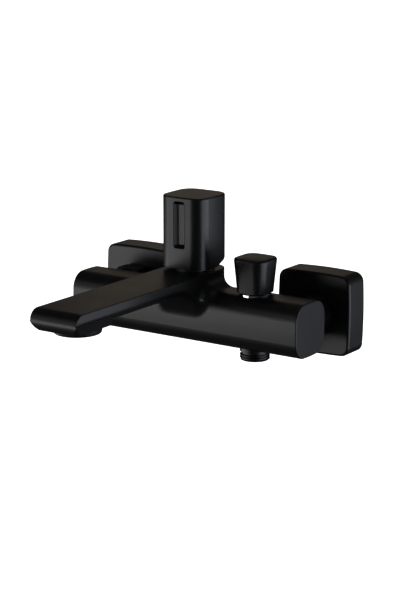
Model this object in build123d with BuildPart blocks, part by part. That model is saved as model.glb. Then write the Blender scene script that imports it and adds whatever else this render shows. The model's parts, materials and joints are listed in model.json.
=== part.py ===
"""Wall mounted bath mixer with a block handle, a flat spout and a pull-up shower diverter.

Millimetres. X runs along the wall, Y into the wall and Z up. The wall is the plane Y = 0, and the
origin lies on it, midway between the two inlets. Distances in front of the wall are measured along -Y.
"""

import os
from math import cos, radians, sin, sqrt

from build123d import *

os.makedirs("parts", exist_ok=True)

# Clearances
running_fit = 0.05  # round pieces that turn or slide in each other, radial
screw_fit = 0.04  # screwed pieces, drawn as plain cylinders, radial
slip_fit = 0.15  # pieces that slip over each other when fitted, per side
free_gap = 0.3  # pieces that move past each other
film_gap = 0.05  # flat faces that slide or close on each other
lift_gap = 0.2  # loose pieces that push each other
overcut = 1.0  # by which a cut runs past a face
pick = 0.01  # tolerance with which edges are picked

# Pipe threads
half_inch_radius = 10.478
three_quarter_radius = 13.22
thread_pitch = 1.814
thread_depth = 1.0
thread_crest = 0.4
thread_root = 0.3
thread_overcut = 0.2  # by which a groove's shape runs past the crest, short of the next turn's shape
thread_lead = 0.8  # chamfer where a thread begins
thread_start = 230.0  # degrees round the stud, where a thread begins
thread_undercut = 1.6  # width of the plain groove in which a thread ends
undercut_depth = 1.25

# Inlets and wall plates
inlet_spacing = 150.0
plate_size = 58.0
plate_depth = 20.0
plate_bulge = 1.0
plate_corner = 6.5
plate_edge = 1.8
plate_wall = 1.8

# Eccentric unions, from the wall fitting to the mixer
union_drop = 8.0  # mixer inlets below the wall fittings
union_wall_length = 16.0
union_land = 3.0  # plain length beside the wall
union_hub_radius = 12.2
union_hub_front = 4.0
union_step_front = 11.0
union_front = 26.0
union_bore = 6.5

# Union nuts, washers and inlet tails
nut_flats = 30.0
nut_back = 20.7
nut_length = 13.8
nut_cone = 1.732  # slope of the turned corners
washer_radius = 12.6
washer_thickness = 2.0
washer_bore = 7.4
tail_radius = 10.2
tail_collar_radius = 12.9
tail_collar = 2.5
tail_bore = 7.0
tail_depth = 8.0

# Bar of the body
bar_length = 188.0
bar_width = 38.0
bar_height = 38.0
bar_bulge = 1.1
bar_corner = 11.5
bar_edge = 0.8
bar_gap = 16.0  # clear space between the bar and the wall plates
bar_drop = 1.85  # bar axis below the inlet axis
core_wall = 4.5

# Spout and its deck, which also carries the handle
deck_width = 37.4
deck_rise = 12.35  # deck top above the bar
deck_back = 19.0  # deck behind the handle axis
deck_corner = 12.8
deck_edge = 0.6
spout_reach = 188.7  # aerator axis in front of the wall
nose_length = 25.5  # nose tip in front of the aerator axis
nose_radius = 7.65
spout_thickness = 11.1
spout_corner = 6.0
root_start = 106.0  # start of the root's curve in front of the wall
root_drop = 20.4  # fall of the root's curve
root_sink = 2.0  # depth of the root's end in the bar
blend_radius = 8.8
spout_wall = 3.0
spout_channel_width = 26.0

# Aerator and its boss
boss_radius = 15.5
boss_drop = 18.0  # boss mouth below the deck top
boss_edge = 1.2
boss_height = 4.1
boss_top_radius = 16.3
fairing_rise = 6.9  # height of the sloping walls between the boss and the nose
fairing_foot_width = 33.6
fairing_foot_front = 22.6  # in front of the aerator axis
fairing_foot_back = 17.0
fairing_front = 33.2  # at its top, before the nose's round cuts it
fairing_back = 20.0
fairing_corner = 8.0
fairing_foot_corner = 5.0
aerator_radius = 12.0
aerator_height = 7.6
aerator_recess = 0.3
aerator_wall = 2.0
aerator_lip = 1.2
aerator_seal_height = 1.4
aerator_seal_bore = 9.0
aerator_hole_radius = 0.75
aerator_hole_rings = ((2.6, 6), (5.2, 12), (7.4, 18))  # radius and number of holes

# Handle
handle_lead = 1.4  # handle axis in front of the bar axis
handle_width = 36.84
handle_bulge = 1.0
handle_corner = 10.0
handle_height = 49.9
handle_gap = 2.4  # above the deck
handle_edge = 1.0
handle_wall = 2.6
heel_start = 1.0  # behind the axis, where the handle's underside begins to rise
heel_slope = 0.4
slot_width = 9.4
slot_height = 32.8
slot_top = 3.0  # below the handle's top
slot_depth = 3.0
slot_taper = 0.75  # by which each wall leans in, per depth
slot_corner = 2.0
slot_edge = 0.4
slot_floor_edge = 0.7
slot_wall = 2.0
adapter_height = 18.0
adapter_lift = 6.0  # above the handle's lower edge
grub_radius = 2.5
grub_length = 8.0
grub_key = 1.25
grub_rise = 6.0  # above the adapter's lower face
plug_radius = 3.2
plug_length = 2.4
plug_edge = 0.3

# Cartridge
chamber_radius = 12.7
chamber_depth = 28.5
nut_thread_radius = 14.0
nut_thread_depth = 8.5
cartridge_radius = 12.5
cartridge_wall = 1.4
base_height = 4.0
base_lift = 0.4
seal_height = 1.2
seal_wall = 1.2
port_radius = 2.9
port_x = 6.2
port_back = 4.2  # inlet ports behind the axis
port_front = 6.6  # outlet port in front of the axis
disc_height = 3.2
disc_port_radius = 2.6
moving_disc_height = 3.0
moving_disc_radius = 9.0
disc_pocket_radius = 5.6
disc_pocket_depth = 1.8
disc_pocket_front = 1.5  # pocket's centre in front of the axis
carrier_height = 3.6
carrier_floor = 0.4
rail_x = 6.4
rail_width = 1.6
rail_height = 1.5
flange_height = 2.0
turret_neck_radius = 8.8
turret_neck_height = 5.6
turret_slot_length = 11.4
pivot_height = 21.5  # above the chamber's floor
pivot_pin_radius = 1.2
pivot_pin_length = 16.0
lever_width = 7.0
lever_ball_radius = 2.2
lever_neck_radius = 1.9
lever_socket = 12.0  # length of the lever in the adapter
ring_nut_bore = 10.2
ring_nut_collar_radius = 12.2
ring_nut_collar = 2.1
ring_nut_notch = 3.0
cover_radius = 14.7
cover_height = 3.1
cover_top = 0.8
cover_bore = 9.6

# Diverter
diverter_x = 49.7
diverter_travel = 7.0
knob_top_width = 26.2
knob_foot_width = 21.7
knob_height = 24.5
knob_bulge = 0.7
knob_top_corner = 7.6
knob_foot_corner = 6.0
knob_edge = 1.8
knob_socket = 16.0
bonnet_radius = 10.9
bonnet_height = 1.8
bonnet_sink = 0.75
bonnet_edge = 0.5
bonnet_thread_radius = 8.5
bonnet_thread_length = 5.25
diverter_stem_radius = 3.0
valve_bore_radius = 7.4
valve_washer_radius = 6.6
valve_washer_height = 1.5
valve_flange_height = 1.5
valve_seat_bore = 5.2
upper_seat_radius = 8.0
upper_seat_height = 2.2
lower_seat_depth = 6.0  # below the bar axis
lower_seat_height = 2.5
upper_washer_bore = 5.0
stem_tip = 1.0
stem_seal_wire = 0.8
stem_seal_depth = 1.4  # below the top of the bonnet's thread
spring_radius = 3.9
spring_wire = 0.35
spring_turns = 7
spring_pocket = 1.5

# Shower outlet and its check valve
outlet_length = 8.2  # below the bar
outlet_land = 2.0  # plain length below the bar
outlet_spot = 0.6  # flat that is sunk into the bar round the outlet
outlet_spot_margin = 1.2  # room round the outlet for the rim of a hose nut
outlet_shank_radius = 9.35
outlet_seal_height = 1.5
outlet_bore = 7.0
outlet_throat = 5.4
outlet_throat_length = 2.6
check_length = 12.0
check_wall = 1.2
check_seat_height = 1.2
check_seat_bore = 3.2
check_guide_bore = 1.05
check_guide_hub = 2.2
check_guide_height = 1.2
check_arm = 1.2
poppet_radius = 4.3
poppet_height = 1.2
poppet_stem_radius = 1.0
check_spring_radius = 2.4
check_spring_wire = 0.3
check_spring_turns = 5

# Waterways in the body
way_radius = 3.0
way_drop = 2.0  # channels below the bar axis
cold_way_radius = 3.6
cold_way_back = 12.2  # cold channel behind the bar axis
mixed_way_front = 6.0
return_way_radius = 2.5
return_way_front = 6.5
return_turn_x = 17.5
spout_channel_start = 80.0  # in front of the wall
way_wall = 3.2

# Places worked out from the sizes
inlet_x = inlet_spacing / 2
bar_y = -(plate_depth + bar_gap + bar_width / 2)
inlet_z = -union_drop
bar_z = inlet_z - bar_drop
bar_top = bar_z + bar_height / 2
bar_bottom = bar_z - bar_height / 2
bar_back = plate_depth + bar_gap
deck_top = bar_top + deck_rise
spout_under = deck_top - spout_thickness
nose_y = -(spout_reach + nose_length - nose_radius)
boss_mouth = deck_top - boss_drop
nose_z = deck_top - nose_radius
fairing_foot = boss_mouth + boss_height
fairing_top = fairing_foot + fairing_rise
handle_y = bar_y - handle_lead
handle_bottom = deck_top + handle_gap
handle_top = handle_bottom + handle_height
chamber_floor = deck_top - chamber_depth
nut_shoulder = deck_top - nut_thread_depth
housing_bore = cartridge_radius - cartridge_wall
base_top = chamber_floor + base_lift + base_height
fixed_disc_top = base_top + disc_height
moving_disc_bottom = fixed_disc_top + film_gap
carrier_bottom = moving_disc_bottom + moving_disc_height
carrier_top = carrier_bottom + carrier_height
housing_top = nut_shoulder + flange_height
turret_bottom = carrier_top + lift_gap
turret_shoulder = nut_shoulder - 2 * film_gap
pivot_z = chamber_floor + pivot_height
ball_z = carrier_bottom + carrier_floor + lever_ball_radius + lift_gap
adapter_bottom = handle_bottom + adapter_lift
lever_top = adapter_bottom + lever_socket
grub_z = adapter_bottom + grub_rise
washer_front = union_front + washer_thickness
collar_front = washer_front + tail_collar
bonnet_seat = bar_top - bonnet_sink
bonnet_bottom = bonnet_seat - bonnet_thread_length
knob_bottom = bonnet_seat + bonnet_height + free_gap
lower_seat = bar_z - lower_seat_depth
valve_bottom = lower_seat + film_gap
valve_top = valve_bottom + 2 * valve_washer_height + valve_flange_height
upper_seat = valve_top + diverter_travel + film_gap
outlet_seal_top = lower_seat - lower_seat_height
outlet_shank_top = outlet_seal_top - outlet_seal_height
outlet_bottom = bar_bottom - outlet_length
check_top = outlet_shank_top - outlet_throat_length
check_bottom = check_top - check_length
poppet_top = check_top - check_seat_height - film_gap
way_z = bar_z - way_drop
inlet_port_y = handle_y + port_back
outlet_port_y = handle_y - port_front


def wall_plane(distance, x=0.0, z=0.0):
    """Plane parallel to the wall, facing the user, at a distance in front of it."""
    return Plane(origin=(x, -distance, z), x_dir=(1, 0, 0), z_dir=(0, -1, 0))


def inlet_plane(distance, x):
    """Plane in front of the wall, centred on a mixer inlet's axis."""
    return wall_plane(distance, x, inlet_z)


def handle_plane(z, x=0.0, y=0.0):
    """Level plane centred on the handle's axis, or beside it by x and y."""
    return Plane(origin=(x, handle_y + y, z))


def diverter_plane(z):
    """Level plane centred on the diverter's axis."""
    return Plane(origin=(diverter_x, bar_y, z))


def squircle(width, depth, bulge, corner):
    """Square with bowed sides and round corners."""
    half_width = width / 2 - bulge
    half_depth = depth / 2 - bulge
    with BuildSketch() as outline:
        with BuildLine():
            SagittaArc((-half_width, -half_depth), (half_width, -half_depth), -bulge)
            SagittaArc((half_width, -half_depth), (half_width, half_depth), -bulge)
            SagittaArc((half_width, half_depth), (-half_width, half_depth), -bulge)
            SagittaArc((-half_width, half_depth), (-half_width, -half_depth), -bulge)
        make_face()
        fillet(outline.vertices(), corner)
    return outline.sketch


def inner_squircle(width, depth, bulge, corner, wall):
    """The same outline, moved in by a wall."""
    return squircle(width - 2 * wall, depth - 2 * wall, bulge, corner - wall)


def disc(plane, radius, height, mode=Mode.ADD):
    """Cylinder that stands on a plane, in the part being built."""
    with Locations(plane):
        Cylinder(radius, height, align=(Align.CENTER, Align.CENTER, Align.MIN), mode=mode)


def bore(plane, radius, depth):
    """Round hole from a plane along its normal."""
    disc(plane, radius, depth, Mode.SUBTRACT)


def bore_between(start, end, radius):
    """Round waterway between two points."""
    way = Vector(*end) - Vector(*start)
    bore(Plane(origin=start, z_dir=way), radius, way.length)


def ring(plane, outer, inner, height):
    """Flat ring that stands on a plane, in the part being built."""
    disc(plane, outer, height)
    bore(plane, inner, height)


def thread_groove(plane, radius, length):
    """Helical groove of a pipe thread that starts a turn below a plane and runs a length along its normal."""
    flank = (thread_pitch - thread_crest - thread_root) / 2 / thread_depth
    half_root = thread_root / 2
    half_mouth = half_root + flank * (thread_depth + thread_overcut)
    with BuildPart() as groove:
        with BuildLine(Plane.XY.offset(-thread_pitch)) as path:
            Helix(thread_pitch, length + thread_pitch, radius)
        with BuildSketch(Plane(path.line @ 0, x_dir=(1, 0, 0), z_dir=path.line % 0)):
            with BuildLine():
                Polyline(
                    (thread_overcut, half_mouth),
                    (-thread_depth, half_root),
                    (-thread_depth, -half_root),
                    (thread_overcut, -half_mouth),
                    close=True,
                )
            make_face()
        sweep(is_frenet=True)
    return plane.location * Rot(0, 0, thread_start) * groove.part


def threaded_stud(plane, radius, length, land):
    """Stud that stands on a plane: a thread, the plain groove in which it ends, and a plain land."""
    thread_length = length - land - thread_undercut
    groove = thread_groove(plane, radius, thread_length + thread_undercut / 2)
    with BuildPart() as stud:
        disc(plane, radius, thread_length)
        chamfer(stud.faces().sort_by(Axis(plane.origin, plane.z_dir))[0].edges(), thread_lead)
        disc(plane, radius - undercut_depth, length)
        disc(plane.offset(length - land), radius, land)
        add(groove, mode=Mode.SUBTRACT)
    return stud.part


def coil_spring(plane, radius, wire, length, turns):
    """Compression spring that stands on a plane."""
    pitch = (length - 2 * wire) / turns
    with BuildPart() as spring:
        with BuildLine(Plane.XY.offset(wire)) as path:
            Helix(pitch, length - 2 * wire, radius)
        with BuildSketch(Plane(path.line @ 0, x_dir=(1, 0, 0), z_dir=path.line % 0)):
            Circle(wire)
        sweep(is_frenet=True)
    return plane.location * spring.part


def save(part, name):
    """Labels a finished piece and writes it as a node."""
    part.label = name
    export_step(part, f"parts/{name}.step")


bar_outline = squircle(bar_width, bar_height, bar_bulge, bar_corner)
core_outline = inner_squircle(bar_width, bar_height, bar_bulge, bar_corner, core_wall)
plate_outline = squircle(plate_size, plate_size, plate_bulge, plate_corner)
plate_inside = inner_squircle(plate_size, plate_size, plate_bulge, plate_corner, plate_wall)
handle_outline = squircle(handle_width, handle_width, handle_bulge, handle_corner)
handle_inside = inner_squircle(handle_width, handle_width, handle_bulge, handle_corner, handle_wall)
adapter_outline = inner_squircle(
    handle_width, handle_width, handle_bulge, handle_corner, handle_wall + screw_fit
)
knob_top_outline = squircle(knob_top_width, knob_top_width, knob_bulge, knob_top_corner)
knob_foot_outline = squircle(knob_foot_width, knob_foot_width, knob_bulge, knob_foot_corner)

# Fairing under the nose, which carries the aerator's round boss. Its walls slope out to the spout's sides, and
# the nose's round cuts its front
nose_tip = (nose_y - nose_radius, nose_z)
with BuildPart() as fairing:
    for z, width, front, back, corner in (
        (fairing_foot, fairing_foot_width, fairing_foot_front, fairing_foot_back, fairing_foot_corner),
        (fairing_top, deck_width, fairing_front, fairing_back, fairing_corner),
    ):
        with BuildSketch(Plane(origin=(0, -spout_reach + (back - front) / 2, z))):
            RectangleRounded(width, front + back, corner)
    loft()
    lip_y = nose_y - sqrt(nose_radius**2 - (nose_z - fairing_foot) ** 2)
    fairing_end = -spout_reach + fairing_front
    with BuildSketch(Plane.YZ):
        with BuildLine():
            ThreePointArc((nose_y, deck_top), nose_tip, (lip_y, fairing_foot))
            Polyline(
                (lip_y, fairing_foot),
                (lip_y, boss_mouth),
                (fairing_end, boss_mouth),
                (fairing_end, deck_top),
                (nose_y, deck_top),
            )
        make_face()
    extrude(amount=deck_width, both=True, mode=Mode.INTERSECT)
    for z, radius in ((boss_mouth, boss_radius), (fairing_foot, boss_top_radius)):
        with BuildSketch(Plane(origin=(0, -spout_reach, z))):
            Circle(radius)
    loft()
    fillet(fairing.faces().sort_by(Axis.Z)[0].edges(), boss_edge)

# Body: bar, deck and spout are one brass casting with cored waterways
with BuildPart() as body:
    # Deck and spout, from their side outline
    under_front = nose_y - sqrt(nose_radius**2 - (nose_z - spout_under) ** 2)
    deck_back_y = handle_y + deck_back
    root_end = (-(bar_back + bar_width) + root_sink, spout_under - root_drop)
    with BuildSketch(Plane.YZ):
        with BuildLine():
            Line((deck_back_y, deck_top), (nose_y, deck_top))
            ThreePointArc((nose_y, deck_top), nose_tip, (under_front, spout_under))
            Line((under_front, spout_under), (-root_start, spout_under))
            TangentArc((-root_start, spout_under), root_end, tangent=(1, 0))
            Polyline(root_end, (deck_back_y, root_end[1]), (deck_back_y, deck_top))
        make_face()
    extrude(amount=deck_width / 2, both=True)
    fillet(body.edges().filter_by(Axis.Z).group_by(Axis.Y)[-1], deck_corner)

    # Round lower edges of the spout
    side_edges = body.edges().filter_by(lambda edge: abs(abs(edge.center().X) - deck_width / 2) < pick)
    under_edges = side_edges.filter_by_position(Axis.Y, nose_y, -bar_back - bar_width)
    fillet(under_edges.filter_by(lambda edge: edge.center().Z < spout_under + pick), spout_corner)

    # Crisp upper edges of the deck
    top_edges = body.faces().filter_by(Axis.Z).sort_by(Axis.Z)[-1].edges()
    fillet(top_edges.filter_by(lambda edge: edge.center().Y > nose_y + overcut), deck_edge)

    add(fairing.part)

    # Bar, blended into the deck
    with BuildSketch(Plane.YZ.offset(-bar_length / 2)):
        with Locations((bar_y, bar_z)):
            add(bar_outline)
    extrude(amount=bar_length)
    seam = body.edges(Select.LAST).filter_by(lambda edge: abs(edge.center().X) < deck_width / 2 + pick)
    seam = seam.filter_by(lambda edge: edge.length < bar_length / 2 and edge.center().Z < bar_top + pick)
    fillet(seam.filter_by(lambda edge: abs(edge.tangent_at(0.5).Z) < 0.999), blend_radius)
    bar_ends = body.faces().filter_by(Axis.X).group_by(Axis.X)
    fillet(bar_ends[0].edges() + bar_ends[-1].edges(), bar_edge)

    # Cores that feed hot and cold water along the bar
    hot_core_end = -(chamber_radius + way_wall)
    cold_core_start = diverter_x + upper_seat_radius + way_wall
    core_length = bar_length / 2 - core_wall
    with BuildSketch(Plane.YZ.offset(-core_length)):
        with Locations((bar_y, bar_z)):
            add(core_outline)
    extrude(amount=core_length + hot_core_end, mode=Mode.SUBTRACT)
    with BuildSketch(Plane.YZ.offset(cold_core_start)):
        with Locations((bar_y, bar_z)):
            add(core_outline)
    extrude(amount=core_length - cold_core_start, mode=Mode.SUBTRACT)
    for x in (-inlet_x, inlet_x):
        bore(inlet_plane(bar_back - overcut, x), tail_radius + screw_fit, tail_depth + overcut)

    # Chamber of the cartridge and its three ports
    bore(handle_plane(chamber_floor), chamber_radius, chamber_depth)
    bore(handle_plane(nut_shoulder), nut_thread_radius + screw_fit, nut_thread_depth)
    for x, y in ((-port_x, inlet_port_y), (port_x, inlet_port_y), (0, outlet_port_y)):
        bore_between((x, y, chamber_floor), (x, y, way_z), port_radius)

    # Waterways from the cores to the ports, and on to the diverter and the spout
    cold_way_y = bar_y + cold_way_back
    mixed_way_y = bar_y - mixed_way_front
    return_way_y = bar_y - return_way_front
    return_way_z = (upper_seat + upper_seat_height + bonnet_bottom) / 2
    channel_bottom = spout_under + spout_wall
    channel_top = deck_top - spout_wall
    channel_z = (channel_bottom + channel_top) / 2
    return_turn = (return_turn_x, return_way_y, return_way_z)
    hot_way_start = (hot_core_end - overcut, inlet_port_y, way_z)
    cold_way_start = (cold_core_start + overcut, cold_way_y, way_z)
    bore_between(hot_way_start, (-port_x, inlet_port_y, way_z), way_radius)
    bore_between(cold_way_start, (port_x, cold_way_y, way_z), cold_way_radius)
    bore_between((port_x, cold_way_y, way_z), (port_x, inlet_port_y, way_z), way_radius)
    bore_between((0, mixed_way_y, way_z), (diverter_x, mixed_way_y, way_z), way_radius)
    bore_between((diverter_x, return_way_y, return_way_z), return_turn, return_way_radius)
    return_end = (return_turn_x / 2, -spout_channel_start - return_way_radius, channel_z)
    bore_between(return_turn, return_end, return_way_radius)
    with BuildSketch(Plane.XY.offset(channel_bottom)):
        with Locations((0, -(spout_reach + spout_channel_start) / 2)):
            Rectangle(spout_channel_width, spout_reach - spout_channel_start + 2 * aerator_seal_bore)
    extrude(amount=channel_top - channel_bottom, mode=Mode.SUBTRACT)

    # Mouth for the aerator
    aerator_seat = boss_mouth + aerator_recess + aerator_height + aerator_seal_height
    mouth_plane = Plane(origin=(0, -spout_reach, boss_mouth))
    bore(mouth_plane, aerator_radius + screw_fit, aerator_seat - boss_mouth)
    bore(mouth_plane, aerator_seal_bore, channel_z - boss_mouth)

    # Stepped bore of the diverter, down to the shower outlet
    bore(diverter_plane(bonnet_seat), bonnet_radius + slip_fit, bar_height / 2)
    bore(diverter_plane(bonnet_bottom), bonnet_thread_radius + screw_fit, bonnet_thread_length)
    bore(diverter_plane(upper_seat), upper_seat_radius + screw_fit, bonnet_bottom - upper_seat)
    bore(diverter_plane(lower_seat), valve_bore_radius, upper_seat - lower_seat)
    bore(diverter_plane(outlet_seal_top), valve_seat_bore, lower_seat_height)
    under_bar = diverter_plane(bar_bottom - overcut)
    bore(under_bar, outlet_shank_radius + screw_fit, outlet_seal_top - bar_bottom + overcut)
    bore(under_bar, half_inch_radius + outlet_spot_margin, outlet_spot + overcut)
save(body.part, "body_casting")


def build_inlet(side, x):
    """Union, wall plate, washer, tail and nut of one inlet."""
    # Eccentric union, screwed into the wall fitting
    wall_end = wall_plane(-union_wall_length, x)
    wall_stud = threaded_stud(wall_end, half_inch_radius, union_wall_length, union_land)
    with BuildPart() as union:
        add(wall_stud)
        disc(wall_plane(0, x), union_hub_radius, union_hub_front)
        with BuildSketch(wall_plane(union_hub_front, x)):
            Circle(union_hub_radius)
        with BuildSketch(inlet_plane(union_step_front, x)):
            Circle(three_quarter_radius)
        loft()
        disc(inlet_plane(union_step_front, x), three_quarter_radius, union_front - union_step_front)
        bore(wall_end, union_bore, union_wall_length + union_hub_front)
        with BuildSketch(wall_plane(union_hub_front, x)):
            Circle(union_bore)
        with BuildSketch(inlet_plane(union_step_front, x)):
            Circle(union_bore)
        loft(mode=Mode.SUBTRACT)
        bore(inlet_plane(union_step_front, x), union_bore, union_front - union_step_front)
    save(union.part, f"{side}_s_union")

    # Wall plate, open at the back and slipped over the union
    with BuildPart() as plate:
        with BuildSketch(inlet_plane(0, x)):
            add(plate_outline)
        extrude(amount=plate_depth)
        fillet(plate.faces().sort_by(Axis.Y)[0].edges(), plate_edge)
        with BuildSketch(inlet_plane(0, x)):
            add(plate_inside)
        extrude(amount=plate_depth - plate_wall, mode=Mode.SUBTRACT)
        bore(inlet_plane(0, x), three_quarter_radius + slip_fit, plate_depth)
    save(plate.part, f"{side}_wall_plate")

    # Washer between the union and the tail's collar
    with BuildPart() as washer:
        ring(inlet_plane(union_front, x), washer_radius, washer_bore, washer_thickness)
    save(washer.part, f"{side}_inlet_washer")

    # Tail, screwed into the body, whose collar holds the nut
    with BuildPart() as tail:
        tail_length = bar_back + tail_depth - washer_front
        disc(inlet_plane(washer_front, x), tail_collar_radius, tail_collar)
        disc(inlet_plane(washer_front, x), tail_radius, tail_length)
        bore(inlet_plane(washer_front, x), tail_bore, tail_length)
    save(tail.part, f"{side}_inlet_tail")

    # Hexagon nut that draws the tail onto the union
    with BuildPart() as nut:
        with BuildSketch(inlet_plane(nut_back, x)):
            RegularPolygon(nut_flats / 2, 6, major_radius=False)
        extrude(amount=nut_length)
        cone_foot = nut_flats / 2 + nut_cone * nut_length
        with Locations(inlet_plane(nut_back + nut_length / 2, x)):
            Cone(cone_foot, nut_flats / 2, nut_length, mode=Mode.INTERSECT)
            Cone(nut_flats / 2, cone_foot, nut_length, mode=Mode.INTERSECT)
        bore(inlet_plane(nut_back, x), three_quarter_radius + screw_fit, collar_front - nut_back)
        bore(inlet_plane(nut_back, x), tail_radius + slip_fit, nut_length)
    save(nut.part, f"{side}_union_nut")


for inlet_side, inlet_place in (("hot", -inlet_x), ("cold", inlet_x)):
    build_inlet(inlet_side, inlet_place)

# Cartridge: base, seals and fixed disc stand still in the chamber
port_places = ((-port_x, port_back), (port_x, port_back), (0, -port_front))
with BuildPart() as base_seals:
    for x, y in port_places:
        ring(handle_plane(chamber_floor, x, y), port_radius + seal_wall, port_radius, seal_height)
save(base_seals.part, "cartridge_base_seals")

with BuildPart() as base:
    base_bottom = chamber_floor + base_lift
    disc(handle_plane(base_bottom), cartridge_radius, base_height)
    for x, y in port_places:
        groove_depth = seal_height - base_lift
        bore(handle_plane(base_bottom, x, y), port_radius + seal_wall + screw_fit, groove_depth)
        bore(handle_plane(base_bottom, x, y), port_radius, base_height)
save(base.part, "cartridge_base")

with BuildPart() as fixed_disc:
    disc(handle_plane(base_top), housing_bore - slip_fit, disc_height)
    for x, y in port_places:
        bore(handle_plane(base_top, x, y), disc_port_radius, disc_height)
save(fixed_disc.part, "fixed_ceramic_disc")

with BuildPart() as housing:
    disc(handle_plane(base_top), cartridge_radius, nut_shoulder - base_top)
    disc(handle_plane(nut_shoulder), nut_thread_radius - slip_fit, flange_height)
    bore(handle_plane(base_top), housing_bore, nut_shoulder - base_top)
    bore(handle_plane(base_top), turret_neck_radius + running_fit, housing_top - base_top)
save(housing.part, "cartridge_housing")

# Moving disc and its carrier, which the lever pushes over the fixed disc
with BuildPart() as moving_disc:
    disc(handle_plane(moving_disc_bottom), moving_disc_radius, moving_disc_height)
    pocket_plane = handle_plane(moving_disc_bottom, 0, -disc_pocket_front)
    bore(pocket_plane, disc_pocket_radius, disc_pocket_depth)
save(moving_disc.part, "moving_ceramic_disc")

with BuildPart() as carrier:
    disc(handle_plane(carrier_bottom), moving_disc_radius, carrier_height)
    with BuildSketch(handle_plane(carrier_top)):
        with Locations((-rail_x, 0), (rail_x, 0)):
            Rectangle(rail_width, moving_disc_radius)
    extrude(amount=rail_height)
    with BuildSketch(handle_plane(carrier_bottom + carrier_floor)):
        ball_pocket = 2 * (lever_ball_radius + 2 * film_gap)
        Rectangle(ball_pocket, ball_pocket)
    extrude(amount=carrier_height, mode=Mode.SUBTRACT)
save(carrier.part, "disc_carrier")

# Turret that turns with the handle and holds the lever's pin
with BuildPart() as turret:
    disc(handle_plane(turret_bottom), housing_bore - running_fit, turret_shoulder - turret_bottom)
    disc(handle_plane(turret_shoulder), turret_neck_radius, turret_neck_height)
    with BuildSketch(handle_plane(turret_bottom)):
        Rectangle(lever_width + 2 * slip_fit, turret_slot_length)
    extrude(amount=turret_shoulder + turret_neck_height - turret_bottom, mode=Mode.SUBTRACT)
    with BuildSketch(handle_plane(turret_bottom)):
        with Locations((-rail_x, 0), (rail_x, 0)):
            Rectangle(rail_width + 2 * slip_fit, 2 * housing_bore)
    extrude(amount=rail_height + film_gap, mode=Mode.SUBTRACT)
    pin_start = (-pivot_pin_length / 2, handle_y, pivot_z)
    bore(Plane(origin=pin_start, z_dir=(1, 0, 0)), pivot_pin_radius, pivot_pin_length)
save(turret.part, "cartridge_turret")

with BuildPart() as pivot_pin:
    disc(Plane(origin=pin_start, z_dir=(1, 0, 0)), pivot_pin_radius, pivot_pin_length)
save(pivot_pin.part, "lever_pivot_pin")

with BuildPart() as lever:
    hub_bottom = pivot_z - lever_width / 2
    with BuildSketch(handle_plane(hub_bottom)):
        Rectangle(lever_width, lever_width)
    extrude(amount=lever_top - hub_bottom)
    disc(handle_plane(ball_z), lever_neck_radius, hub_bottom - ball_z)
    with Locations(handle_plane(ball_z)):
        Sphere(lever_ball_radius)
    lever_side = Plane(origin=(-lever_width / 2, handle_y, pivot_z), z_dir=(1, 0, 0))
    bore(lever_side, pivot_pin_radius + running_fit, lever_width)
save(lever.part, "lever_stem")

with BuildPart() as ring_nut:
    disc(handle_plane(housing_top), nut_thread_radius, deck_top - housing_top)
    disc(handle_plane(deck_top), ring_nut_collar_radius, ring_nut_collar)
    bore(handle_plane(housing_top), ring_nut_bore, deck_top + ring_nut_collar - housing_top)
    with BuildSketch(handle_plane(deck_top)):
        with PolarLocations(ring_nut_collar_radius, 4):
            Rectangle(ring_nut_notch, ring_nut_notch)
    extrude(amount=ring_nut_collar, mode=Mode.SUBTRACT)
save(ring_nut.part, "cartridge_ring_nut")

with BuildPart() as cover:
    disc(handle_plane(deck_top), cover_radius, cover_height)
    fillet(cover.faces().sort_by(Axis.Z)[-1].edges(), cover_top)
    bore(handle_plane(deck_top), ring_nut_collar_radius + slip_fit, cover_height - cover_top)
    bore(handle_plane(deck_top), cover_bore, cover_height)
save(cover.part, "cartridge_cover_ring")

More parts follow.
